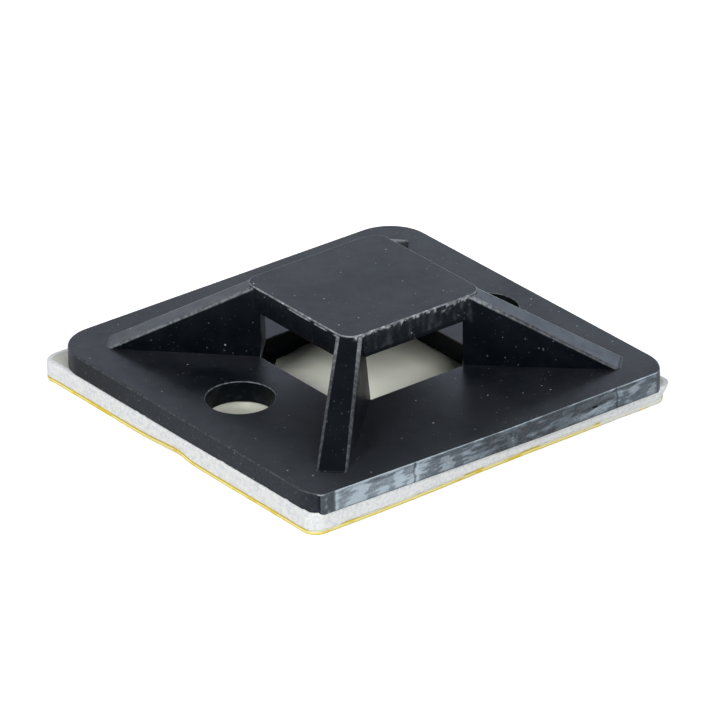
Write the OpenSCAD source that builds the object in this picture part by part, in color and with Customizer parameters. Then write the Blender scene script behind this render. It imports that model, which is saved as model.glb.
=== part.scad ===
// Self-adhesive mount for cable ties: a square nylon moulding, whose raised bridge stands on
// four corner ribs over an open well, on a foam pad that still has its release liner.
// The origin is under the middle of the base plate, on the underside of the liner.

/* [Base plate] */
// Side of the square base plate
base_w = 28; // [26:0.5:40]
// Thickness of the base plate
base_t = 1.4; // [1:0.1:3]
// Radius of the base plate's upright corners
base_corner_r = 2.8; // [1:0.1:5]
// How far the plate stood out on its gate side, before that side was shaved back
gate_stub = 0.6; // [0.2:0.1:1]
// Lean of the shaved side, in degrees
gate_lean = 3.5; // [0:0.5:8]
// Depth to which the knife bit in at the front end of that side
gate_bite = 0.45; // [0:0.05:0.8]
// Length over which the bite runs out
gate_bite_run = 14.5; // [6:0.5:20]

/* [Bridge] */
// Side of the square bridge plate that the tie passes under
bridge_w = 10.85; // [9:0.05:13]
// Thickness of the bridge plate
bridge_t = 1.7; // [1:0.1:2.5]
// Radius of the bridge plate's upright corners
bridge_corner_r = 1.05; // [0.4:0.05:1.5]
// Clear height of the windows between the base plate and the bridge
window_h = 3.05; // [1.5:0.05:6]
// Length cut off each side at the corners of the open well under the bridge
well_chamfer = 1.8; // [1.2:0.05:2.4]
// Distance from the middle of the plate to the middle of the bridge, along Y
bridge_shift = 0.35; // [-0.5:0.05:0.5]

/* [Ribs] */
// Width of each rib's top edge where it leaves the bridge
rib_top_w = 1.6; // [1.2:0.05:2]
// Draft of the ribs' side faces, in degrees
rib_draft = 4.6; // [0:0.1:6]
// Angle by which each side face closes in towards the foot, in degrees
rib_taper = 1.3; // [0:0.1:1.5]
// Distance from the foot of each rib to the two nearest sides of the plate
rib_foot_gap = 2.5; // [1.5:0.1:4]

/* [Screw holes] */
// Diameter of the two screw holes
hole_d = 4.4; // [2.5:0.1:5]
// Distance between the screw holes' centres
hole_pitch = 19.6; // [17.5:0.1:20]

/* [Adhesive pad] */
// How much wider than the base plate the pad is, along X
pad_extra_x = 0.2; // [-1:0.05:2]
// How much longer than the base plate the pad is, along Y
pad_extra_y = 0.6; // [-1:0.05:2]
// How far off the middle of the plate the pad is stuck, along X
pad_shift_x = -0.6; // [-1:0.05:1]
// How far off the middle of the plate the pad is stuck, along Y
pad_shift_y = 0.15; // [-1:0.05:1]
// Radius of the pad's upright corners
pad_corner_r = 1; // [0.2:0.1:3]
// Thickness of the foam
foam_t = 1.05; // [0.5:0.05:2]
// Thickness of the release liner under the foam
liner_t = 0.3; // [0.1:0.05:0.5]

/* [Hidden] */
$fn = 64;

pad_x = base_w + pad_extra_x;
pad_y = base_w + pad_extra_y;
foam_top = liner_t + foam_t;
base_top = foam_top + base_t;
bridge_under = base_top + window_h;
bridge_top = bridge_under + bridge_t;

// Distances from the middle of the bridge out along a diagonal
bridge_tip = bridge_w / sqrt(2) - bridge_corner_r * (sqrt(2) - 1);
well_tip = (bridge_w - well_chamfer) / sqrt(2);
rib_foot = (base_w - 2 * rib_foot_gap) / sqrt(2);

// How far a cutter runs past what it cuts
over = 1;

// A rectangle with quarter-circle corners, centred on the origin
module rounded_rect(x, y, r) {
    square([x - 2 * r, y], center = true);
    square([x, y - 2 * r], center = true);
    for (sx = [-1, 1], sy = [-1, 1])
        translate([sx * (x / 2 - r), sy * (y / 2 - r)])
            circle(r = r);
}

// The base plate, with the gate side shaved back by a leaning cut and a deeper upright bite
module base_plate() {
    difference() {
        translate([gate_stub / 2, 0, foam_top])
            linear_extrude(height = base_t)
                rounded_rect(base_w + gate_stub, base_w, base_corner_r);
        translate([base_w / 2, 0, base_top])
            rotate([0, -gate_lean, 0])
                translate([0, -base_w, -base_w])
                    cube(2 * base_w);
        translate([base_w / 2, gate_bite_run - base_w / 2, 0])
            rotate(-atan(gate_bite / gate_bite_run))
                translate([0, -2 * base_w, 0])
                    cube([base_w, 3 * base_w, base_top + over]);
    }
}

// The bridge plate over the well
module bridge_plate() {
    translate([0, 0, bridge_under])
        linear_extrude(height = bridge_t)
            rounded_rect(bridge_w, bridge_w, bridge_corner_r);
}

// One drafted rib along +X: level with the bridge at its tip, and falling straight to its foot
module rib() {
    rib_in = well_tip - well_chamfer / 2;
    rib_root = base_top - base_t / 2;
    rib_run = (rib_foot - bridge_tip) / (bridge_top - base_top);
    difference() {
        rotate([90, 0, 0])
            linear_extrude(height = bridge_w, center = true)
                polygon([
                    [rib_in, rib_root],
                    [rib_in, bridge_top],
                    [bridge_tip, bridge_top],
                    [rib_foot + rib_run * (base_top - rib_root), rib_root]
                ]);
        for (side = [0, 1])
            mirror([0, side, 0])
                translate([bridge_tip, rib_top_w / 2, bridge_top])
                    rotate([rib_draft, 0, -rib_taper])
                        translate([-bridge_w, 0, -2 * bridge_top])
                            cube([bridge_w + 2 * rib_foot, bridge_w, 3 * bridge_top]);
    }
}

// The open well that the core leaves under the bridge, down through the base plate
module well() {
    translate([0, 0, foam_top - over])
        linear_extrude(height = bridge_under - foam_top + over)
            intersection() {
                square(bridge_w, center = true);
                rotate(45)
                    square(2 * well_tip, center = true);
            }
}

module screw_hole() {
    translate([0, 0, foam_top - over])
        cylinder(h = base_t + 2 * over, d = hole_d);
}

module mount_body() {
    color([0.13, 0.14, 0.16])
        difference() {
            union() {
                base_plate();
                translate([0, bridge_shift, 0]) {
                    bridge_plate();
                    for (turn = [45:90:315])
                        rotate(turn)
                            rib();
                }
            }
            translate([0, bridge_shift, 0]) {
                well();
                for (side = [-1, 1])
                    translate([0, side * hole_pitch / 2, 0])
                        screw_hole();
            }
        }
}

// The outline that the foam and its liner were cut to
module pad_outline() {
    translate([pad_shift_x, pad_shift_y])
        rounded_rect(pad_x, pad_y, pad_corner_r);
}

module foam_pad() {
    color([0.9, 0.91, 0.89])
        translate([0, 0, liner_t])
            linear_extrude(height = foam_t)
                pad_outline();
}

module release_liner() {
    color([0.92, 0.86, 0.5])
        linear_extrude(height = liner_t)
            pad_outline();
}

mount_body();
foam_pad();
release_liner();
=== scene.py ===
# Self-adhesive mount for cable ties: a black nylon moulding on a white foam pad, with the pad's
# yellow release liner still on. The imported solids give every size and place, in metres.

import math

import bmesh
import bpy
from mathutils import Matrix, Vector, geometry, noise


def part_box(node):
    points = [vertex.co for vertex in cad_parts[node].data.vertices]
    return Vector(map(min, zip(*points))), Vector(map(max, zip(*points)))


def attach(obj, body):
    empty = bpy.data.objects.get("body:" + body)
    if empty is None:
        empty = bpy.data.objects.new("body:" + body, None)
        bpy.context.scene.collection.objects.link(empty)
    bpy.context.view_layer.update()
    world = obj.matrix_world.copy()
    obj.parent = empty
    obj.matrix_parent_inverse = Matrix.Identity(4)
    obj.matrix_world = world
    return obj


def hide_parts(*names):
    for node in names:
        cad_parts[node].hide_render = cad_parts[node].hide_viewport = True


# ---- Camera ----------------------------------------------------------------------------------
# A long lens looks down on the front corner of the mount, as a catalogue picture does. It aims
# a little above the middle of the base and is rolled by one degree.

MM = 0.001
CAMERA_AIM = Vector((-0.29, 0.25, 2.11)) * MM
CAMERA_AZIMUTH = math.radians(52.50)
CAMERA_ELEVATION = math.radians(26.95)
CAMERA_ROLL = math.radians(-1.03)
CAMERA_DISTANCE = 454.3 * MM
CAMERA_LENS = 359.1

camera_data = bpy.data.cameras.new("camera")
camera_data.sensor_width = 36
camera_data.lens = CAMERA_LENS
camera_data.clip_start = 0.01
camera_data.clip_end = 10
camera = bpy.data.objects.new("camera", camera_data)
bpy.context.scene.collection.objects.link(camera)
towards_camera = Vector((
    math.sin(CAMERA_AZIMUTH) * math.cos(CAMERA_ELEVATION),
    -math.cos(CAMERA_AZIMUTH) * math.cos(CAMERA_ELEVATION),
    math.sin(CAMERA_ELEVATION),
))
level_turn = (-towards_camera).to_track_quat("-Z", "Y").to_matrix()
camera.matrix_world = (
    Matrix.Translation(CAMERA_AIM + CAMERA_DISTANCE * towards_camera)
    @ (level_turn @ Matrix.Rotation(CAMERA_ROLL, 3, "Z")).to_4x4()
)
bpy.context.scene.camera = camera

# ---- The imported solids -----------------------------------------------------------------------
# Three solids lie face to face: the liner at the bottom, the foam on it, and the moulding on
# top. Each is dressed by a piece of its own below, which takes its place and size from it.

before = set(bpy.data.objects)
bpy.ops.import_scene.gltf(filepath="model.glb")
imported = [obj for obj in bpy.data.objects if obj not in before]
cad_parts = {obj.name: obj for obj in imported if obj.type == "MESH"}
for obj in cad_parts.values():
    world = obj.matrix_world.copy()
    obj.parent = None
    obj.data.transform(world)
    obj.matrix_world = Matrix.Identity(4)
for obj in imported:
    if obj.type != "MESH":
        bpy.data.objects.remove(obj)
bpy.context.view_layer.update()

# ---- Release liner ---------------------------------------------------------------------------
# Coated yellow paper under the lower adhesive, cut in one stroke with the foam. Its edge stands
# off the bench where the paper has buckled, and the blade dragged foam down over its gate side.

PAD_CORNER_R = 1.0 * MM
PAD_STEP = 0.09 * MM
ARC_STEPS = 18
LINER_LEVELS = 6
GATE_NARROWING = 0.24 * MM
RIGHT_TIP = 0.2 * MM
LEFT_TIP = 0.12 * MM
BUCKLE_CREST = -0.3 * MM
BUCKLE_LIFT = 0.24 * MM
BUCKLE_LEFT_RUN = 2.4 * MM
BUCKLE_RIGHT_RUN = 1.1 * MM
EDGE_WAVE = 0.03 * MM

liner_low, liner_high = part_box("release_liner")
liner_t = liner_high.z - liner_low.z


def ease(value, start, stop):
    """0 before start, 1 after stop, and a smooth step between."""
    share = min(1.0, max(0.0, (value - start) / (stop - start)))
    return share * share * (3 - 2 * share)


def ripple(place, size, seed=0.0):
    """Smooth noise from -1 to 1, with features of the given size."""
    return noise.noise(Vector(place) / size + Vector((seed, 1.7 * seed, 0.3 * seed)))


def rounded_outline(low, high, radius, step, gate_step):
    """Points round a rectangle with rounded corners, each with its outward direction."""
    points = []
    arcs = []
    for x, y, start in [
        (low.x, low.y, 180), (high.x, low.y, 270), (high.x, high.y, 0), (low.x, high.y, 90)
    ]:
        inward_x = radius if x == low.x else -radius
        inward_y = radius if y == low.y else -radius
        centre = Vector((x + inward_x, y + inward_y))
        turns = [math.radians(start + 90 * i / ARC_STEPS) for i in range(ARC_STEPS + 1)]
        outs = [Vector((math.cos(turn), math.sin(turn))) for turn in turns]
        arcs.append([(centre + out * radius, out) for out in outs])
    for arc, following in zip(arcs, arcs[1:] + arcs[:1]):
        points += arc
        start, stop = arc[-1][0], following[0][0]
        along = gate_step if arc[-1][1].x > 0.9 else step
        count = round((stop - start).length / along)
        points += [(start.lerp(stop, i / count), arc[-1][1]) for i in range(1, count)]
    return points


outline = rounded_outline(
    liner_low.to_2d(), liner_high.to_2d(), PAD_CORNER_R, PAD_STEP, PAD_STEP
)


def blade_lean(place, share):
    """How far out from the outline the blade's cut stands, at a share of the pad's height."""
    gate = ease(place.x, 12.2 * MM, 13.3 * MM)
    narrowing = GATE_NARROWING * gate * ease(place.y, -9 * MM, 4 * MM)
    right_tip = RIGHT_TIP * gate * ease(place.y, 11 * MM, 14 * MM)
    left_tip = LEFT_TIP * ease(-place.x, 13 * MM, 14.5 * MM) * ease(-place.y, 4 * MM, 13 * MM)
    return left_tip - narrowing * (1 - share) + right_tip * share


def buckle(place):
    """How far the liner's edge is lifted at a place on the pad's outline."""
    wave = EDGE_WAVE * max(0.0, ripple((place.x, place.y, 0), 4 * MM))
    if place.y > liner_low.y + PAD_CORNER_R:
        return wave
    run = BUCKLE_LEFT_RUN if place.x < BUCKLE_CREST else BUCKLE_RIGHT_RUN
    return wave + BUCKLE_LIFT * math.exp(-((place.x - BUCKLE_CREST) / run) ** 2)


def pad_ring(inset, height, lift_share, share=0.0):
    """The pad's outline drawn in by inset, at a height, raised by a share of the liner's buckle."""
    ring = []
    for place, out in outline:
        at = place + out * (blade_lean(place, share) - inset)
        ring.append(Vector((at.x, at.y, height + lift_share * buckle(place))))
    return ring


def loft(mesh, rings, values=None):
    """Adds closed rings of points to a mesh, skins them in their order, and returns the corners.

    values holds, for each named value of the mesh, one number for every point of every ring.
    """
    values = values or {}
    layers = {name: mesh.verts.layers.float.new(name) for name in values}
    rows = []
    for number, ring in enumerate(rings):
        row = [mesh.verts.new(point) for point in ring]
        for name, layer in layers.items():
            for corner, value in zip(row, values[name][number]):
                corner[layer] = value
        rows.append(row)
    count = len(rows[0])
    for lower, upper in zip(rows, rows[1:]):
        for i in range(count):
            j = (i + 1) % count
            face = mesh.faces.new((lower[i], lower[j], upper[j], upper[i]))
            face.smooth = True
            face.normal_update()
    return rows


def finished_object(name, mesh):
    """Turns a closed mesh into an object of the scene, with its faces turned outwards."""
    bmesh.ops.recalc_face_normals(mesh, faces=mesh.faces)
    data = bpy.data.meshes.new(name)
    mesh.to_mesh(data)
    mesh.free()
    made = bpy.data.objects.new(name, data)
    bpy.context.scene.collection.objects.link(made)
    return made


def ringed_solid(name, rings, values):
    """A closed solid from rings, listed from the middle of its underside to that of its top."""
    mesh = bmesh.new()
    rows = loft(mesh, rings, values)
    mesh.faces.new(list(reversed(rows[0])))
    mesh.faces.new(rows[-1])
    return finished_object(name, mesh)


def liner_ring(level):
    """One ring of the liner's cut edge, which bulges at mid height."""
    share = level / LINER_LEVELS
    ring = []
    for place, out in outline:
        height = liner_low.z + liner_t * share + buckle(place)
        fray = ripple((place.x, place.y, height), 0.35 * MM)
        wave = ripple((place.x, place.y, 3), 1.6 * MM)
        bulge = (0.012 * fray + 0.02 * wave + 0.02 * math.sin(math.pi * share)) * MM
        at = place + out * (blade_lean(place, 0) + bulge)
        ring.append(Vector((at.x, at.y, height)))
    return ring


def foam_smear(place, share):
    """How far dragged foam hides the yellow at a place on the liner's edge."""
    gate = ease(place.x, 12.6 * MM, 13.2 * MM)
    bare = ripple((place.x, place.y, share * 0.5 * MM), 1.1 * MM, 4) + 0.5 * (0.5 - share)
    covered = ease(place.y, 6.5 * MM, 9 * MM) * (1 - ease(bare, 0.1, 0.28))
    upper = 0.9 * ease(share, 0.5, 0.9) * (1 - ease(bare, -0.25, 0.1))
    return gate * max(covered, upper)


# Rings inside the edge of a face of the pad: how far in they run, and their share of the lift.
INSETS = [0.05 * MM, 0.4 * MM, 0.8 * MM]
LIFTS = [1, 0.45, 0.1]
liner_rings = [pad_ring(i, liner_low.z, s) for i, s in zip(INSETS[::-1], LIFTS[::-1])]
liner_levels = [0.0] * len(INSETS)
for level in range(LINER_LEVELS + 1):
    liner_rings.append(liner_ring(level))
    liner_levels.append(level / LINER_LEVELS)
liner_rings += [pad_ring(i, liner_high.z, s) for i, s in zip(INSETS, LIFTS)]
liner_levels += [1.0] * len(INSETS)
liner = ringed_solid("liner_paper", liner_rings, {
    "edge_level": [[share] * len(outline) for share in liner_levels],
    "smear": [[foam_smear(place, share) for place, _ in outline] for share in liner_levels],
})


def new_material(name, roughness):
    """A material with its node tree and its Principled shader."""
    material = bpy.data.materials.new(name)
    material.use_nodes = True
    tree = material.node_tree
    shader = tree.nodes["Principled BSDF"]
    shader.inputs["Roughness"].default_value = roughness
    return material, tree, shader


def new_group(name, inputs, outputs):
    """An empty node group with named number sockets, and its input and output nodes."""
    group = bpy.data.node_groups.new(name, "ShaderNodeTree")
    for label, value in inputs:
        socket = group.interface.new_socket(label, in_out="INPUT", socket_type="NodeSocketFloat")
        socket.default_value = value
    for label in outputs:
        group.interface.new_socket(label, in_out="OUTPUT", socket_type="NodeSocketFloat")
    return group, group.nodes.new("NodeGroupInput"), group.nodes.new("NodeGroupOutput")


def millimetres(tree):
    """The place on the object, in millimetres."""
    place = tree.nodes.new("ShaderNodeTexCoord")
    scaled = tree.nodes.new("ShaderNodeVectorMath")
    scaled.operation = "SCALE"
    scaled.inputs["Scale"].default_value = 1000
    tree.links.new(place.outputs["Object"], scaled.inputs[0])
    return scaled.outputs["Vector"]


# Soft blotches: noise of a size in millimetres, stretched from black at Low to white at High.
mottle, came, goes = new_group(
    "mottle", [("Per mm", 1), ("Detail", 3), ("Low", 0.4), ("High", 0.6)], ["Mask"]
)
cloud = mottle.nodes.new("ShaderNodeTexNoise")
stretch = mottle.nodes.new("ShaderNodeMapRange")
stretch.interpolation_type = "SMOOTHSTEP"
mottle.links.new(millimetres(mottle), cloud.inputs["Vector"])
mottle.links.new(came.outputs["Per mm"], cloud.inputs["Scale"])
mottle.links.new(came.outputs["Detail"], cloud.inputs["Detail"])
mottle.links.new(cloud.outputs["Fac"], stretch.inputs["Value"])
mottle.links.new(came.outputs["Low"], stretch.inputs["From Min"])
mottle.links.new(came.outputs["High"], stretch.inputs["From Max"])
mottle.links.new(stretch.outputs["Result"], goes.inputs["Mask"])


def add_group(tree, group, values):
    """Places a node group in a tree with values of its own, and returns its mask."""
    node = tree.nodes.new("ShaderNodeGroup")
    node.node_tree = group
    for label, value in values.items():
        node.inputs[label].default_value = value
    return node.outputs["Mask"]


def add_mottle(tree, per_mm, detail, low, high):
    """Places soft blotches in a tree and returns their mask."""
    return add_group(
        tree, mottle, {"Per mm": per_mm, "Detail": detail, "Low": low, "High": high}
    )


def attribute(tree, name):
    """A value that the mesh carries at its corners."""
    node = tree.nodes.new("ShaderNodeAttribute")
    node.attribute_name = name
    return node.outputs["Fac"]


def blend(tree, mask, under, over):
    """A colour that goes from under to over as the mask goes from 0 to 1."""
    node = tree.nodes.new("ShaderNodeMix")
    node.data_type = "RGBA"
    tree.links.new(mask, node.inputs["Factor"])
    for label, colour in (("A", under), ("B", over)):
        if isinstance(colour, tuple):
            node.inputs[label].default_value = (*colour, 1)
        else:
            tree.links.new(colour, node.inputs[label])
    return node.outputs["Result"]


def reckon(tree, operation, first, second):
    """One sum on two masks or numbers."""
    node = tree.nodes.new("ShaderNodeMath")
    node.operation = operation
    node.use_clamp = True
    for label, value in ((0, first), (1, second)):
        if isinstance(value, (int, float)):
            node.inputs[label].default_value = value
        else:
            tree.links.new(value, node.inputs[label])
    return node.outputs["Value"]


def ramp(tree, value, stops):
    """A colour read off a scale of stops, each a place from 0 to 1 with its colour."""
    node = tree.nodes.new("ShaderNodeValToRGB")
    scale = node.color_ramp
    for number, (place, colour) in enumerate(stops):
        stop = scale.elements[number] if number < 2 else scale.elements.new(place)
        stop.position = place
        stop.color = (*colour, 1)
    tree.links.new(value, node.inputs["Fac"])
    return node.outputs["Color"]


def add_relief(tree, shader, height, depth):
    """Fine relief from a mask, as deep as depth in metres."""
    bump = tree.nodes.new("ShaderNodeBump")
    bump.inputs["Strength"].default_value = 1
    bump.inputs["Distance"].default_value = depth
    tree.links.new(height, bump.inputs["Height"])
    tree.links.new(bump.outputs["Normal"], shader.inputs["Normal"])


PALE_YELLOW = (0.94, 0.83, 0.27)
GOLD = (0.78, 0.58, 0.03)
OLIVE = (0.42, 0.33, 0.06)
SMEARED_FOAM = (0.80, 0.80, 0.74)

liner_paper, tree, shader = new_material("liner_paper", 0.5)
edge_bands = ramp(tree, attribute(tree, "edge_level"), [
    (0.0, OLIVE), (0.12, GOLD), (0.24, PALE_YELLOW), (0.66, PALE_YELLOW), (0.78, OLIVE), (1.0, GOLD)
])
patches = add_mottle(tree, 0.8, 3, 0.5, 0.66)
yellow = blend(tree, patches, edge_bands, GOLD)
tree.links.new(
    blend(tree, attribute(tree, "smear"), yellow, SMEARED_FOAM), shader.inputs["Base Color"]
)
add_relief(tree, shader, add_mottle(tree, 5, 4, 0.3, 0.7), 0.012 * MM)
liner.data.materials.append(liner_paper)
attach(liner, "root")
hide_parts("release_liner")

# ---- Foam pad --------------------------------------------------------------------------------
# White closed-cell foam, sticky on both faces and cut by a blade, so its walls show cut cells.
# The sticky top is bare where the plate's holes and well leave it open.

FOAM_LEVELS = 14
SQUEEZE_RISE = 0.11 * MM
RAGGED_RISE = 0.16 * MM
FOAM_RIM_R = 0.1 * MM
BRIDGE_SHIFT = 0.35 * MM
HOLE_R = 2.2 * MM
HOLE_PITCH = 19.6 * MM
WELL_REACH = 7.3 * MM
FILM_SINK = 0.002 * MM
FILM_ROUGH = 0.03 * MM
FILM_STEP = 0.3 * MM

foam_low, foam_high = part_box("foam_pad")
foam_t = foam_high.z - foam_low.z


def squeeze(place):
    """How far the foam has welled up beside the plate, most of all towards the front corner."""
    front = ease(place.x, -3 * MM, 9 * MM) * ease(-place.y, 12.5 * MM, 13.6 * MM)
    torn = max(0.0, ripple((place.x, place.y, 2), 0.5 * MM))
    ragged = max(front, ease(place.x, -6 * MM, -4.5 * MM) * (1 - ease(place.x, -2.5 * MM, -1 * MM)))
    near_side = ease(-place.y, 12 * MM, 13.6 * MM)
    return SQUEEZE_RISE * front + RAGGED_RISE * torn * ragged * near_side


def foam_ring(level):
    """One ring of the foam's cut wall, with the pits of its opened cells."""
    share = level / FOAM_LEVELS
    ring = []
    for place, out in outline:
        height = foam_low.z + foam_t * share + (1 - share) * buckle(place)
        height += squeeze(place) * share ** 4
        cell = ripple((place.x, place.y, height), 0.16 * MM)
        wave = ripple((place.x, place.y, 5), 3 * MM)
        rim = FOAM_RIM_R * max(0.0, (share - 0.9) / 0.1) ** 2
        at = place + out * (blade_lean(place, share) + (0.022 * cell + 0.03 * wave) * MM - rim)
        ring.append(Vector((at.x, at.y, height)))
    return ring


def level_face(mesh, rows, extra=()):
    """Fills the level ground between an outer row of corners and the rows round its holes."""
    corners, edges, holes = [], [], []
    for number, row in enumerate(rows):
        start = len(corners)
        corners += row
        edges += [(start + i, start + (i + 1) % len(row)) for i in range(len(row))]
        holes += [number] * len(row)
    corners += extra
    holes += [-1] * len(extra)
    places = [corner.co.to_2d() / MM for corner in corners]
    _, _, faces, origins, _, _ = geometry.delaunay_2d_cdt(places, edges, [], 1, 1e-6, True)
    for face in faces:
        ends = [origins[i][0] for i in face]
        if len({holes[i] for i in ends}) > 1 or holes[ends[0]] < 1:
            mesh.faces.new([corners[i] for i in ends]).smooth = True


MIDDLE = Vector((0, BRIDGE_SHIFT))
HOLES = [MIDDLE + Vector((0, side * HOLE_PITCH / 2)) for side in (1, -1)]

# Where the plate leaves the sticky top bare: the middle, the reach and the depth of each hollow.
BARE_PLACES = [(MIDDLE, WELL_REACH, 0.12 * MM)]
BARE_PLACES += [(hole, HOLE_R + 0.25 * MM, 0.3 * MM) for hole in HOLES]


def film_height(place):
    """The sticky top: pressed flat under the plate, and sunken and rough where it is bare."""
    sunken = 0.0
    for centre, reach, depth in BARE_PLACES:
        away = (place - centre).length / reach
        sunken = max(sunken, depth * (1 - ease(away, 0.75, 1.0)))
    rough = FILM_ROUGH * (ripple((place.x, place.y, 0), 0.9 * MM, 2) - 0.2)
    rough *= min(1, sunken / (0.02 * MM))
    return foam_high.z - FILM_SINK - max(0.0, sunken - rough)


foam_mesh = bmesh.new()
rows = loft(foam_mesh, (
    [pad_ring(i, foam_low.z, s) for i, s in zip(INSETS[:0:-1], LIFTS[:0:-1])]
    + [foam_ring(level) for level in range(FOAM_LEVELS + 1)]
    + [pad_ring(0.35 * MM, foam_high.z - FILM_SINK, 0, 1)]
))
foam_mesh.faces.new(list(reversed(rows[0])))
ground = []
reach = round(0.55 * (foam_high.y - foam_low.y) / FILM_STEP)
for column in range(-reach, reach + 1):
    for line in range(-reach, reach + 1):
        offset = Vector((column + 0.5 * (line % 2), line * math.sin(math.radians(60))))
        place = MIDDLE + offset * FILM_STEP
        if any((place - centre).length < bare for centre, bare, _ in BARE_PLACES):
            ground.append(foam_mesh.verts.new((place.x, place.y, film_height(place))))
level_face(foam_mesh, [rows[-1]], ground)
FILM = 1
for face in foam_mesh.faces:
    if len(face.verts) == 3:
        face.material_index = FILM
# Painted light: the bare sticky top is painted paler towards the middle of the well, under the
# bridge.
painted_well_light = foam_mesh.verts.layers.float.new("painted_well_light")
for corner in foam_mesh.verts:
    corner[painted_well_light] = 1 - ease((corner.co.to_2d() - MIDDLE).length, 3 * MM, 6.5 * MM)
foam = finished_object("foam_tape", foam_mesh)

FOAM_WHITE = (0.88, 0.895, 0.89)
FOAM_PIT = (0.73, 0.755, 0.79)
FILM_PALE = (0.66, 0.67, 0.58)
FILM_DULL = (0.60, 0.61, 0.52)
FILM_LIT = (0.92, 0.93, 0.80)

foam_cells, tree, shader = new_material("foam_cells", 0.75)
pits = add_mottle(tree, 4.5, 5, 0.3, 0.6)
tree.links.new(blend(tree, pits, FOAM_PIT, FOAM_WHITE), shader.inputs["Base Color"])
add_relief(tree, shader, pits, 0.012 * MM)
foam.data.materials.append(foam_cells)

sticky_film, tree, shader = new_material("sticky_film", 0.4)
film = blend(tree, add_mottle(tree, 0.9, 4, 0.38, 0.62), FILM_DULL, FILM_PALE)
# Painted light: paler towards the middle of the well.
lit_share = reckon(tree, "MULTIPLY", attribute(tree, "painted_well_light"), 0.85)
tree.links.new(blend(tree, lit_share, film, FILM_LIT), shader.inputs["Base Color"])
add_relief(tree, shader, add_mottle(tree, 2, 3, 0.3, 0.7), 0.008 * MM)
foam.data.materials.append(sticky_film)
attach(foam, "root")
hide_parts("foam_pad")

# ---- Moulding --------------------------------------------------------------------------------
# One shot of black nylon: base plate, bridge and four ribs over an open well. Its outer edges are
# rounded, the ribs' most, and the gate side is rough where a knife shaved the sprue off.

PLATE_T = 1.4 * MM
PLATE_CORNER_R = 2.8 * MM
PLATE_EDGE_R = 0.09 * MM
PLATE_FOOT_R = 0.04 * MM
GATE_STUB = 0.6 * MM
GATE_LEAN = math.radians(3.5)
GATE_BITE = 0.45 * MM
GATE_BITE_RUN = 14.5 * MM
GATE_EDGE_R = 0.03 * MM
GATE_STEP = 0.08 * MM
SIDE_STEP = 0.3 * MM
HOLD = 0.03 * MM
FLASH_LIP = 0.45 * MM
BORE_EDGE_R = 0.06 * MM
WELL_SIDE_STEPS = 12
HOLE_STEPS = 96
BRIDGE_W = 10.85 * MM
BRIDGE_T = 1.7 * MM
BRIDGE_CORNER_R = 1.05 * MM
BRIDGE_EDGE_R = 0.07 * MM
BRIDGE_FOOT_R = 0.05 * MM
BRIDGE_STEP = 0.12 * MM
WELL_CHAMFER = 1.8 * MM
RIB_TOP_W = 1.6 * MM
RIB_DRAFT = math.radians(4.6)
RIB_TAPER = math.radians(1.3)
RIB_FOOT_GAP = 2.5 * MM
RIB_DIP = 0.06 * MM
RIB_ROOT = 0.3 * MM
FOOT_STEP = 0.03 * MM
SLOPE_STEPS = 36
TOE_STEPS = 10

body_low, body_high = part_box("mount_body")
half = -body_low.x
plate_low = body_low.z
plate_top = plate_low + PLATE_T
bridge_under = body_high.z - BRIDGE_T


def gate_face(y, z):
    """How far out the shaved side stands: a leaning cut, and a deeper bite at its front end."""
    lean = half + (plate_top - z) * math.tan(GATE_LEAN)
    bite = half - GATE_BITE * (GATE_BITE_RUN - half - y) / GATE_BITE_RUN
    return min(lean, bite)


# How pale the shaved side is at its front end, and where that changes: from and to along the side
# in mm, and by how much.
GATE_PALE = 0.56
GATE_TONES = [(-6.5, -4, -0.26), (-3.5, 0, -0.24), (5.5, 7.5, 0.16), (9.4, 10, 0.06)]

# Each mark the knife left: its place along the side in mm and up it from 0 to 1, its half length
# in mm and half height from 0 to 1, its rise per mm, how much paler it is, and its depth in mm.
GATE_MARKS = [
    (-12.40, 0.5, 0.09, 9.0, 0.0, 0.35, 0.0),
    (-6.45, 0.5, 0.07, 9.0, 0.0, -0.55, 0.06),
    (-6.24, 0.5, 0.07, 9.0, 0.0, 0.25, -0.01),
    (-9.5, 0.82, 1.6, 0.06, -0.02, -0.20, 0.01),
    (-8.2, 0.3, 1.2, 0.07, 0.03, 0.16, 0.0),
    (0.55, 0.45, 0.42, 0.24, 0.0, -0.28, 0.03),
    (1.15, 0.50, 0.08, 0.35, 0.0, 0.22, 0.0),
    (1.45, 0.45, 0.07, 0.30, 0.0, 0.16, 0.0),
    (5.70, 0.70, 0.45, 0.20, 0.0, -0.30, 0.02),
    (7.00, 0.44, 0.50, 0.06, 0.05, -0.45, 0.07),
    (8.00, 0.51, 0.70, 0.06, 0.06, -0.50, 0.09),
    (8.80, 0.55, 0.35, 0.05, -0.06, -0.35, 0.05),
    (8.30, 0.32, 1.20, 0.10, 0.02, 0.16, -0.02),
    (9.48, 0.5, 0.06, 9.0, 0.0, -0.45, 0.05),
    (9.62, 0.40, 0.05, 0.22, 0.0, 0.25, 0.0),
    (9.86, 0.62, 0.05, 0.16, 0.0, 0.22, 0.0),
    (12.29, 0.79, 0.10, 0.06, 0.0, -0.50, 0.04),
    (12.53, 0.50, 0.07, 0.35, 0.0, -0.22, 0.0),
]


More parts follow.
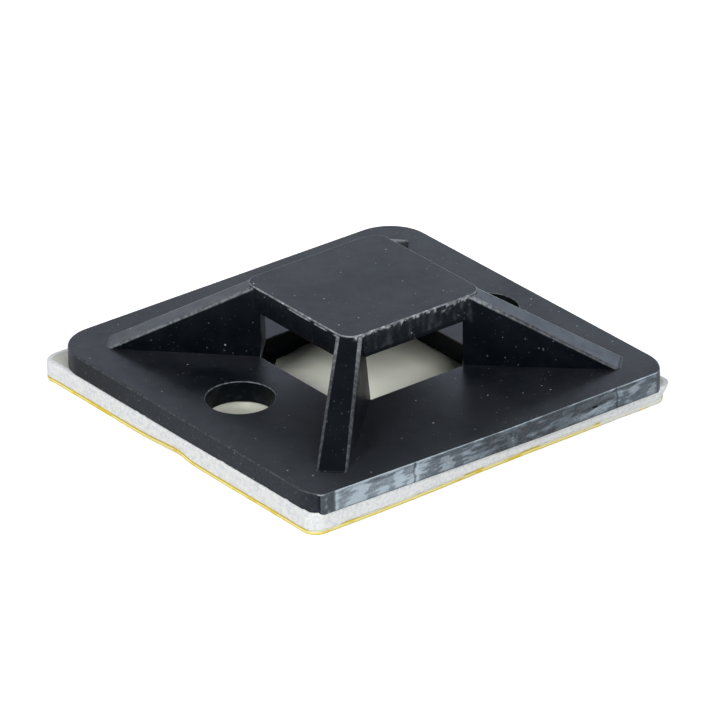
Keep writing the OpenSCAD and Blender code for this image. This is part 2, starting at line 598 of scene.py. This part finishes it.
def gate_marks_and_painted_light(y, z):
    """What the knife left at a place on the shaved side, with painted light at its edges: how pale it
    is, and how deep.
    """
    up = (z - plate_low) / PLATE_T
    y = y / MM
    streak = ripple((y * 0.3, 0, up * 1.4), 0.11, 3)
    patch = ripple((y * 0.6, 0, up), 0.5, 9)
    drag = ripple((y * 0.25, 5, up * 2.2 - 0.08 * y), 0.22, 5)
    pale = GATE_PALE + sum(change * ease(y, start, stop) for start, stop, change in GATE_TONES)
    pale += 0.09 * streak + 0.12 * drag + 0.30 * ease(patch + 0.6 * drag, -0.12, 0.16)
    # A light line at the top edge, partly a burr and partly a painted highlight, over a painted
    # shadow line beneath it.
    top_line = ease(up, 0.93, 0.96)
    painted_shadow_line = math.exp(-((up - 0.88 - 0.03 * streak) / 0.03) ** 2)
    pale += 0.4 * top_line - 0.35 * painted_shadow_line
    depth = 0.02 + 0.012 * streak + 0.02 * patch
    for place, height, long, tall, rise, paler, deeper in GATE_MARKS:
        along = (y - place - 0.05 * math.sin(9 * up + place)) / long
        if abs(along) < 2.5:
            over = (up - height - rise * (y - place)) / tall
            mark = math.exp(-along * along - over * over)
            pale += paler * mark
            depth += deeper * mark
    # Painted shade darkens the foot of the side, where it meets the foam.
    pale -= 0.3 * (1 - ease(up, 0.0, 0.07))
    cut = ease(y, -12.55, -12.4) * (1 - ease(y, 12.7, 12.85))
    chip = math.exp(-((y + 13.28 - 0.55 * abs(up - 0.55)) / 0.055) ** 2) * (1 - cut)
    pale = pale * cut + 0.10 * (1 - cut) + 0.5 * chip
    return min(1.0, max(0.04, pale)), max(0.0, depth) * cut * MM


plate_outline = rounded_outline(
    Vector((-half, -half)), Vector((half + GATE_STUB, half)), PLATE_CORNER_R, SIDE_STEP, GATE_STEP
)


def rim_levels(low, high, low_r, high_r, steps):
    """Heights up a wall between two rounded rims, each with its inset from the wall.

    A narrow strip beside each rim holds the wall and the level ground flat in the light.
    """
    levels = []
    for i in range(4):
        turn = math.pi / 2 * i / 4
        levels.append((low + low_r * (1 - math.cos(turn)), low_r * (1 - math.sin(turn))))
    foot, crest = low + low_r, high - high_r - HOLD
    levels += [(foot + (crest - foot) * i / steps, 0.0) for i in range(steps + 1)]
    for i in range(6):
        turn = math.pi / 2 * i / 5
        levels.append((high - high_r * (1 - math.sin(turn)), high_r * (1 - math.cos(turn))))
    levels.append((high, high_r + HOLD))
    return levels


def plate_ring(z, inset):
    """The plate's outline at a height, with its gate side brought back to the shaved face."""
    ring = []
    for place, out in plate_outline:
        at = place - out * inset
        limit = gate_face(at.y, z) - inset * GATE_EDGE_R / PLATE_EDGE_R
        if at.x > limit:
            fade = max(0.0, 1 - inset / PLATE_EDGE_R)
            at.x = limit - fade * gate_marks_and_painted_light(at.y, z)[1]
        ring.append(Vector((at.x, at.y, z)))
    return ring


def well_ring(z, spread):
    """The well's outline, spread by a distance: a square with cut corners and a low flash lip."""
    a = BRIDGE_W / 2 + spread
    c = BRIDGE_W / 2 - WELL_CHAMFER + spread * (math.sqrt(2) - 1)
    corners = [(a, -c), (a, c), (c, a), (-c, a), (-a, c), (-a, -c), (-c, -a), (c, -a)]
    ring = []
    for start, stop in zip(corners, corners[1:] + corners[:1]):
        start = Vector((*(Vector(start) + MIDDLE), z))
        stop = Vector((*(Vector(stop) + MIDDLE), z))
        ring += [start.lerp(stop, i / WELL_SIDE_STEPS) for i in range(WELL_SIDE_STEPS)]
    lip = FLASH_LIP * (1 - ease(z, plate_low, plate_low + 0.25 * MM))
    left = Vector((-1, -1)).normalized()
    for corner in ring:
        shift = lip * ease((corner.to_2d() - MIDDLE).dot(left), 4 * MM, 6.2 * MM)
        corner.x += shift
        corner.y += shift
    return ring


def hole_ring(centre, radius, z):
    """A screw hole's outline at a height."""
    turns = [2 * math.pi * i / HOLE_STEPS for i in range(HOLE_STEPS)]
    return [
        Vector((centre.x + radius * math.cos(t), centre.y + radius * math.sin(t), z)) for t in turns
    ]


NYLON_BLACK = (0.0010, 0.0020, 0.0034)
NYLON_HAZE = (0.004, 0.006, 0.009)
# Settled dust on level faces and haze on walls, each also a painted sheen.
SETTLED_DUST_AND_SHEEN = (0.016, 0.018, 0.022)
FLANK_HAZE_AND_SHEEN = (0.035, 0.042, 0.052)
FLANK_STREAK = (0.05, 0.06, 0.075)
CORED_HAZE = (0.010, 0.013, 0.018)
COOL_SHEEN = (0.78, 0.87, 1, 1)
# Rubbed edges: pale worn nylon, which also stands for a painted highlight along rounded edges.
RUBBED_AND_HIGHLIGHT = (0.62, 0.66, 0.70)
SHAVED_DARK = (0.018, 0.021, 0.026)
SHAVED_MID = (0.12, 0.15, 0.18)
SHAVED_PALE = (0.46, 0.55, 0.62)
SCRAPED_AND_HIGHLIGHT = (0.5, 0.53, 0.56)

# Dust from the finest to the coarsest: cells per mm, the share of them that hold a speck, the
# speck's size in the cell, and its colour.
DUST = [
    (9, 0.10, 0.30, (0.05, 0.055, 0.065)),
    (5, 0.13, 0.28, (0.09, 0.095, 0.105)),
    (2.6, 0.10, 0.16, (0.34, 0.35, 0.37)),
    (1.1, 0.07, 0.09, (0.6, 0.61, 0.62)),
]

# Sparse specks: one in each few cells of a grid, told by the cell's own chance and its size in mm.
specks, came, goes = new_group("specks", [("Per mm", 2), ("Share", 0.1), ("Size", 0.1)], ["Mask"])
cells = specks.nodes.new("ShaderNodeTexVoronoi")
specks.links.new(millimetres(specks), cells.inputs["Vector"])
specks.links.new(came.outputs["Per mm"], cells.inputs["Scale"])
chance = specks.nodes.new("ShaderNodeSeparateColor")
specks.links.new(cells.outputs["Color"], chance.inputs["Color"])
chosen = reckon(specks, "LESS_THAN", chance.outputs["Red"], came.outputs["Share"])
reach = reckon(specks, "MULTIPLY", came.outputs["Size"], chance.outputs["Green"])
near = reckon(specks, "LESS_THAN", cells.outputs["Distance"], reach)
specks.links.new(reckon(specks, "MULTIPLY", chosen, near), goes.inputs["Mask"])


def add_specks(tree, per_mm, share, size):
    """Places the specks in a material and returns their mask."""
    return add_group(tree, specks, {"Per mm": per_mm, "Share": share, "Size": size})


# Rubbed edges and painted highlights: the mesh's own wear, which also paints a light line along
# rounded edges where light would catch them, broken up by a grain of blotches. Least is the share
# of the wear that the grain leaves everywhere.
edge_wear_and_highlight, came, goes = new_group(
    "edge_wear_and_highlight",
    [("Per mm", 4), ("Detail", 4), ("Low", 0.35), ("High", 0.65), ("Least", 0.4)],
    ["Mask"],
)
grain = add_mottle(edge_wear_and_highlight, 4, 4, 0.35, 0.65)
for label in ("Per mm", "Detail", "Low", "High"):
    edge_wear_and_highlight.links.new(came.outputs[label], grain.node.inputs[label])
missing = reckon(edge_wear_and_highlight, "SUBTRACT", 1, came.outputs["Least"])
grain = reckon(edge_wear_and_highlight, "ADD", reckon(edge_wear_and_highlight, "MULTIPLY", grain, missing), came.outputs["Least"])
rubbed_and_highlight = reckon(edge_wear_and_highlight, "MULTIPLY", attribute(edge_wear_and_highlight, "wear_and_highlight"), grain)
edge_wear_and_highlight.links.new(rubbed_and_highlight, goes.inputs["Mask"])


def add_edge_wear_and_highlight(tree, per_mm, high, low, least):
    """Places the rubbed edges and their painted highlights in a material and returns their mask."""
    return add_group(tree, edge_wear_and_highlight, {"Per mm": per_mm, "High": high, "Low": low, "Least": least})


def nylon_skin(name, shine):
    """The mould's own skin with its dust and rubbed edges, as glossy as the mould was polished, and
    painted sheen and edge highlights.
    """
    material, tree, shader = new_material(name, 0.34)
    shader.inputs["Specular IOR Level"].default_value = shine
    shader.inputs["Specular Tint"].default_value = COOL_SHEEN
    normal = tree.nodes.new("ShaderNodeSeparateXYZ")
    facing = tree.nodes.new("ShaderNodeNewGeometry")
    tree.links.new(facing.outputs["Normal"], normal.inputs["Vector"])
    # Level faces: settled dust and a painted sheen, in large pale blotches.
    lying = reckon(tree, "GREATER_THAN", normal.outputs["Z"], 0.97)
    settled_dust_and_sheen = reckon(tree, "MULTIPLY", lying, add_mottle(tree, 0.2, 6, 0.3, 0.62))
    # Upright walls: haze and streaks, with a painted sheen graded along them.
    flank_haze_and_sheen = attribute(tree, "flank_haze_and_sheen")
    streaks = reckon(tree, "MULTIPLY", flank_haze_and_sheen, add_mottle(tree, 5, 5, 0.52, 0.75))
    skin = blend(tree, add_mottle(tree, 0.7, 5, 0.35, 0.75), NYLON_BLACK, NYLON_HAZE)
    skin = blend(tree, settled_dust_and_sheen, skin, SETTLED_DUST_AND_SHEEN)
    skin = blend(tree, reckon(tree, "MULTIPLY", flank_haze_and_sheen, 0.55), skin, FLANK_HAZE_AND_SHEEN)
    skin = blend(tree, streaks, skin, FLANK_STREAK)
    for per_mm, share, size, colour in DUST:
        skin = blend(tree, add_specks(tree, per_mm, share, size), skin, colour)
    # Rubbed edges, which also paint a highlight line along the rounded edges.
    skin = blend(tree, add_edge_wear_and_highlight(tree, 4, 0.65, 0.35, 0.4), skin, RUBBED_AND_HIGHLIGHT)
    tree.links.new(skin, shader.inputs["Base Color"])
    uneven = tree.nodes.new("ShaderNodeMapRange")
    uneven.inputs["To Min"].default_value = 0.32
    uneven.inputs["To Max"].default_value = 0.37
    tree.links.new(add_mottle(tree, 1.2, 4, 0.35, 0.65), uneven.inputs["Value"])
    tree.links.new(uneven.outputs["Result"], shader.inputs["Roughness"])
    add_relief(tree, shader, add_mottle(tree, 6, 3, 0.2, 0.8), 0.0015 * MM)
    return material


nylon = nylon_skin("nylon", 0.47)
dull_nylon = nylon_skin("dull_nylon", 0.2)

cored, tree, shader = new_material("cored_nylon", 0.45)
shader.inputs["Specular IOR Level"].default_value = 0.15
shader.inputs["Specular Tint"].default_value = COOL_SHEEN
skin = blend(tree, add_mottle(tree, 1.5, 4, 0.5, 0.75), NYLON_BLACK, CORED_HAZE)
tree.links.new(skin, shader.inputs["Base Color"])
add_relief(tree, shader, add_mottle(tree, 4, 3, 0.3, 0.7), 0.006 * MM)

shaved, tree, shader = new_material("shaved_nylon", 0.55)
tone = attribute(tree, "pale")
tone = reckon(tree, "ADD", tone, reckon(tree, "MULTIPLY", add_mottle(tree, 9, 3, 0.35, 0.65), 0.12))
skin = ramp(tree, tone, [(0.0, SHAVED_DARK), (0.95, SHAVED_PALE), (0.45, SHAVED_MID)])
# The shaved side's top edge: scraped, with a painted highlight line along it.
skin = blend(tree, add_edge_wear_and_highlight(tree, 1.6, 0.6, 0.3, 0), skin, SCRAPED_AND_HIGHLIGHT)
tree.links.new(skin, shader.inputs["Base Color"])
add_relief(tree, shader, add_mottle(tree, 7, 4, 0.3, 0.7), 0.006 * MM)

NYLON, ROUNDED_EDGE, SHAVED, CORED, DULL = range(5)
DULL_BELOW = 0.7
LEVEL_SNAP = 0.001 * MM
SHARP_ANGLE = math.radians(35)


def moulded(name, mesh):
    """A closed piece of the moulding: slots for skin, edges with wear and painted highlights, cut
    side, cores and dull skin.
    """
    made = finished_object(name, mesh)
    for finish in (nylon, nylon, shaved, cored, dull_nylon):
        made.data.materials.append(finish)
    return made


plate = bmesh.new()
levels = rim_levels(plate_low, plate_top, PLATE_FOOT_R, PLATE_EDGE_R, 14)
outer = loft(plate, [plate_ring(z, inset) for z, inset in levels])
for face in plate.faces:
    middle = face.calc_center_median()
    if middle.x > gate_face(middle.y, middle.z) - 0.12 * MM and abs(face.normal.z) < 0.6:
        face.material_index = SHAVED
    elif middle.z > plate_top - PLATE_EDGE_R and face.normal.z < 0.99:
        face.material_index = ROUNDED_EDGE
levels = rim_levels(plate_low, plate_top, 0, BORE_EDGE_R, 8)[3:]
bores = [[well_ring(z, spread) for z, spread in levels]]
bores += [[hole_ring(hole, HOLE_R + spread, z) for z, spread in levels] for hole in HOLES]
inner = []
for bore in bores:
    before = set(plate.faces)
    inner.append(loft(plate, bore))
    for face in plate.faces:
        if face not in before:
            rim = face.calc_center_median().z > plate_top - BORE_EDGE_R
            face.material_index = ROUNDED_EDGE if rim and face.normal.z < 0.99 else CORED
level_face(plate, [outer[-1]] + [rows[-1] for rows in inner])
level_face(plate, [outer[0]] + [rows[0] for rows in inner])
moulding = moulded("nylon_moulding", plate)

bridge = bmesh.new()
bridge_outline = rounded_outline(
    MIDDLE - Vector((1, 1)) * BRIDGE_W / 2, MIDDLE + Vector((1, 1)) * BRIDGE_W / 2,
    BRIDGE_CORNER_R, BRIDGE_STEP, BRIDGE_STEP,
)


def bridge_relief(place, out, z):
    """How far the bridge's wall stands out: grain, a parting ridge, and a ragged, notched side."""
    below = (body_high.z - z) / MM
    relief = 0.012 * ripple((place.x, place.y, z * 0.6), 0.35 * MM)
    if out.y < -0.9:
        run = ease(place.x, -0.6 * MM, 0.2 * MM) * (1 - ease(place.x, 4.3 * MM, 4.7 * MM))
        wander = 0.22 + 0.02 * ripple((place.x, 0, 0), 1.5 * MM)
        relief += 0.045 * run * math.exp(-((below - wander) / 0.05) ** 2)
    if out.x > 0.9:
        ragged = max(0.0, ripple((place.y, 0, z * 0.5), 0.22 * MM, 7) - 0.1)
        notch = math.exp(-((place.y / MM - 4.2) / 0.12) ** 2 - ((below - 0.12) / 0.14) ** 2)
        relief -= 0.11 * ragged * math.exp(-((below - 0.1) / 0.12) ** 2) + 0.09 * notch
    return relief * MM


bridge_rings = []
for z, inset in rim_levels(bridge_under, body_high.z, BRIDGE_FOOT_R, BRIDGE_EDGE_R, 30):
    ring = []
    for place, out in bridge_outline:
        fade = max(0.0, 1 - inset / BRIDGE_EDGE_R)
        at = place + out * (bridge_relief(place, out, z) * fade - inset)
        ring.append(Vector((at.x, at.y, z)))
    bridge_rings.append(ring)
rows = loft(bridge, bridge_rings)
for face in bridge.faces:
    if face.calc_center_median().z > body_high.z - BRIDGE_EDGE_R and face.normal.z < 0.99:
        face.material_index = ROUNDED_EDGE
bridge.faces.new(list(reversed(rows[0])))
bridge.faces.new(rows[-1])
parts = [moulded("bridge_slab", bridge)]

rib_tip = BRIDGE_W / math.sqrt(2) - BRIDGE_CORNER_R * (math.sqrt(2) - 1)
rib_foot = (2 * half - 2 * RIB_FOOT_GAP) / math.sqrt(2)
rib_start = (BRIDGE_W - WELL_CHAMFER) / math.sqrt(2) + 0.01 * MM
rib_break = rib_tip - 0.4 * MM
rib_toe = rib_foot - 0.3 * MM
rib_end = rib_foot + 0.35 * MM
rib_slope = (body_high.z - RIB_DIP - plate_top) / (rib_foot - rib_break)


def rib_height(run):
    """Height of a rib's top edge at a distance from the bridge's middle."""
    line = body_high.z - RIB_DIP - max(0.0, run - rib_break) * rib_slope
    foot = plate_top + FOOT_STEP - RIB_ROOT * ease(run, rib_foot - 0.05 * MM, rib_end) ** 2
    return max(line, foot)


def rib_section(run):
    """The rib's cross-section at a distance from the bridge's middle: sides, rounded edges, top."""
    top = rib_height(run)
    low = plate_top - RIB_ROOT
    away = (run - rib_tip) / (rib_foot - rib_tip)
    radius = min((0.24 - 0.08 * max(0.0, away)) * MM, 0.9 * (top - low))
    crown = RIB_TOP_W / 2 - (run - rib_tip) * math.tan(RIB_TAPER)
    closing = 0.2 * MM * ease(run, rib_foot - 0.25 * MM, rib_end) ** 2

    def wide(z):
        return crown + (body_high.z - z) * math.tan(RIB_DRAFT) - closing

    heights = [low + (top - radius - HOLD - low) * i / 6 for i in range(7)]
    right = [(wide(z), z) for z in heights]
    for i in range(5):
        turn = math.pi / 2 * i / 4
        right.append((
            wide(top - radius) - radius * (1 - math.cos(turn)),
            top - radius * (1 - math.sin(turn)),
        ))
    flat = right[-1][0] - min(HOLD, 0.2 * crown)
    crest = [(flat * (1 - 2 * i / 6), top) for i in range(7)]
    left = [(-across, z) for across, z in reversed(right)]
    return right + crest + left


for turn in (45, 135, 225, 315):
    along = Vector((math.cos(math.radians(turn)), math.sin(math.radians(turn))))
    aside = Vector((-along.y, along.x))
    runs = [rib_start, rib_break - 0.1 * MM, rib_break]
    runs += [rib_break + (rib_toe - rib_break) * i / SLOPE_STEPS for i in range(1, SLOPE_STEPS)]
    runs += [rib_toe + (rib_end - rib_toe) * i / TOE_STEPS for i in range(TOE_STEPS + 1)]
    rib = bmesh.new()
    rings = []
    for run in runs:
        ring = []
        for across, z in rib_section(run):
            at = MIDDLE + along * run + aside * across
            ring.append(Vector((at.x, at.y, z)))
        rings.append(ring)
    rows = loft(rib, rings)
    for face in rib.faces:
        if 0.12 < abs(face.normal.to_2d().dot(aside)) < 0.97:
            face.material_index = ROUNDED_EDGE
    rib.faces.new(list(reversed(rows[0])))
    rib.faces.new(rows[-1])
    parts.append(moulded("rib_%d" % turn, rib))

for part in parts:
    union = moulding.modifiers.new("union", "BOOLEAN")
    union.operation = "UNION"
    union.solver = "EXACT"
    union.object = part
joined = bpy.data.meshes.new_from_object(
    moulding.evaluated_get(bpy.context.evaluated_depsgraph_get())
)
moulding.modifiers.clear()
moulding.data = joined
for part in parts:
    bpy.data.objects.remove(part)


def rim_wear_and_highlight(at):
    """How far a rounded edge is rubbed, and painted with a highlight, at a place on it: bridge, ribs,
    bores, then the plate.
    """
    if at.z > body_high.z - 0.09 * MM:
        nick = ease(ripple((at.x, at.y, 0), 0.45 * MM, 6), 0.1, 0.35)
        if at.x > BRIDGE_W / 2 - 0.3 * MM or at.y < MIDDLE.y - BRIDGE_W / 2 + 0.3 * MM:
            return 0.55 + 0.4 * nick
        return 0.45 + 0.55 * nick
    if at.z > plate_top + 0.01 * MM:
        # The ribs on the +x side get a broader painted highlight near the bridge.
        tip = 1 - ease((at.to_2d() - MIDDLE).length, rib_tip, rib_tip + 3 * MM)
        return 0.16 + (0.3 * tip if at.x > 0 else 0.12)
    if abs(at.x) < 12 * MM and abs(at.y) < 13 * MM:
        return 0.3
    return 0.13


def bridge_fray_and_highlight(at):
    """How far the fraying of the bridge's upper edge spreads down its wall at a place, with a painted
    highlight line on the -y wall.
    """
    below = (body_high.z - at.z) / MM
    if at.x > BRIDGE_W / 2 - 0.2 * MM:
        spread = 1.6 - 0.7 * ease(at.y, 0, 5 * MM)
        torn = ripple((at.y, 0, at.z * 0.7), 0.22 * MM, 7) - spread * (below - 0.12)
        streak = 0.02 + 0.14 * ripple((at.y, 0, at.z * 0.3), 0.4 * MM, 4)
        return max(0.01, streak, 0.95 * ease(torn, -0.08, 0.25))
    # Along the -y wall's parting ridge, a broken painted highlight line.
    if at.y < MIDDLE.y - BRIDGE_W / 2 + 0.2 * MM:
        run = ease(at.x, -0.8 * MM, -0.4 * MM) * (1 - ease(at.x, 4.3 * MM, 4.7 * MM))
        broken = ease(ripple((at.x, 3, 0), 0.5 * MM, 2), -0.35, -0.1)
        return 0.9 * run * broken * math.exp(-((below - 0.2) / 0.045) ** 2)
    return 0.0


def on_bridge(at):
    """Whether a place on the moulding lies within the bridge's outline."""
    away = at.to_2d() - MIDDLE
    return max(abs(away.x), abs(away.y)) < BRIDGE_W / 2 + 0.06 * MM


def wall_haze_and_sheen(at):
    """How hazy and streaked an upright wall is at a place, with a painted sheen that grows towards +x
    and up the bridge's walls.
    """
    if at.z < plate_top:
        return 0.15 + 0.75 * ease(at.x, -13 * MM, 3 * MM)
    gate_side = ease(at.x, BRIDGE_W / 2 - 0.2 * MM, BRIDGE_W / 2 - 0.1 * MM)
    high = ease(at.z, body_high.z - 0.9 * MM, body_high.z - 0.1 * MM)
    return 0.1 + 0.25 * high + 0.15 * gate_side


# The corners carry how far they are rubbed, with painted highlights on rounded edges, how pale the
# knife left them, with painted light at the shaved side's top edge and foot, and their wall's haze,
# with its painted sheen. Walls and undersides take the duller finish.
surface = bmesh.new()
surface.from_mesh(joined)
wear_and_highlight = surface.verts.layers.float.new("wear_and_highlight")
pale = surface.verts.layers.float.new("pale")
flank_haze_and_sheen = surface.verts.layers.float.new("flank_haze_and_sheen")
for corner in surface.verts:
    for level in (plate_low, plate_top, bridge_under, body_high.z):
        if abs(corner.co.z - level) < LEVEL_SNAP:
            corner.co.z = level
surface.normal_update()
for corner in surface.verts:
    at = corner.co
    slots = {face.material_index for face in corner.link_faces}
    on_level = any(face.normal.z > 0.999 for face in corner.link_faces)
    upright = abs(corner.normal.z) < 0.3
    if ROUNDED_EDGE in slots and not on_level:
        corner[wear_and_highlight] = rim_wear_and_highlight(at)
    elif at.z > bridge_under + 0.3 * MM and abs(corner.normal.z) < 0.7 and on_bridge(at):
        corner[wear_and_highlight] = bridge_fray_and_highlight(at)
    if SHAVED in slots:
        corner[pale] = gate_marks_and_painted_light(at.y, at.z)[0]
        if ROUNDED_EDGE in slots:
            corner[wear_and_highlight] = 0.8
    plate_wall = at.z < plate_top and slots == {NYLON}
    bridge_wall = at.z > bridge_under and on_bridge(at)
    # Upright walls take their haze with its painted sheen.
    if upright and (plate_wall or bridge_wall):
        corner[flank_haze_and_sheen] = wall_haze_and_sheen(at)
for face in surface.faces:
    face.smooth = True
    if face.material_index in (NYLON, ROUNDED_EDGE) and face.normal.z < DULL_BELOW:
        face.material_index = DULL
for edge in surface.edges:
    if len(edge.link_faces) == 2:
        edge.smooth = edge.calc_face_angle() < SHARP_ANGLE
surface.to_mesh(joined)
surface.free()

# The union leaves long thin triangles on level ground, so their corners are told to face straight
# up or down, and share nothing with the faces that rise from it.
facing = [corner.vector.copy() for corner in joined.corner_normals]
edge_sides = {}
for face in joined.polygons:
    heights = [joined.vertices[index].co.z for index in face.vertices]
    is_level = max(heights) - min(heights) < LEVEL_SNAP / 2
    for loop in face.loop_indices:
        edge_sides.setdefault(joined.loops[loop].edge_index, set()).add(is_level)
        if is_level:
            facing[loop] = Vector((0, 0, math.copysign(1, facing[loop].z)))
for edge, sides in edge_sides.items():
    if len(sides) == 2:
        joined.edges[edge].use_edge_sharp = True
joined.normals_split_custom_set(facing)
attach(moulding, "root")
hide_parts("mount_body")

# ---- Studio ----------------------------------------------------------------------------------
# A pale floor under the mount, and large soft lights: two in front, and two low behind it whose
# reflections give the level black faces their tone.

floor_data = bpy.data.meshes.new("floor")
floor_data.from_pydata(
    [(-3, -3, 0), (3, -3, 0), (3, 3, 0), (-3, 3, 0)], [], [(0, 1, 2, 3)]
)
floor = bpy.data.objects.new("floor", floor_data)
floor.location.z = -0.02 * MM
bpy.context.scene.collection.objects.link(floor)
floor_paint, tree, shader = new_material("floor_paint", 0.8)
shader.inputs["Specular IOR Level"].default_value = 0
shader.inputs["Base Color"].default_value = (0.9, 0.9, 0.9, 1)
seen = tree.nodes.new("ShaderNodeLightPath").outputs["Is Camera Ray"]
glow = blend(tree, seen, (0.0, 0.0, 0.0), (0.6, 0.6, 0.6))
tree.links.new(glow, shader.inputs["Emission Color"])
shader.inputs["Emission Strength"].default_value = 1
floor_data.materials.append(floor_paint)


def soft_light(name, azimuth, elevation, distance, width, height, power, colour=(1, 1, 1)):
    """A rectangular softbox that faces the mount, placed by its bearing from the front."""
    turn, tilt = math.radians(azimuth), math.radians(elevation)
    towards = Vector((
        math.sin(turn) * math.cos(tilt), -math.cos(turn) * math.cos(tilt), math.sin(tilt)
    ))
    data = bpy.data.lights.new(name, "AREA")
    data.shape = "RECTANGLE"
    data.size = width
    data.size_y = height
    data.energy = power
    data.color = colour
    light = bpy.data.objects.new(name, data)
    light.location = towards * distance
    light.rotation_mode = "QUATERNION"
    light.rotation_quaternion = towards.to_track_quat("Z", "Y")
    bpy.context.scene.collection.objects.link(light)


soft_light("front_left", -5, 38, 1.0, 0.5, 0.4, 5)
soft_light("front_right", 80, 35, 1.0, 0.5, 0.4, 5.5)
soft_light("back_wall", 222, 15, 1.2, 1.7, 0.5, 3.4, (0.80, 0.87, 1))
soft_light("back_right", 190, 22, 1.2, 0.9, 0.3, 1.0, (0.7, 0.85, 1))

world = bpy.data.worlds.new("studio")
world.use_nodes = True
world.node_tree.nodes["Background"].inputs["Color"].default_value = (0.95, 0.97, 1, 1)
world.node_tree.nodes["Background"].inputs["Strength"].default_value = 0.15
bpy.context.scene.world = world
bpy.context.scene.view_settings.view_transform = "Standard"
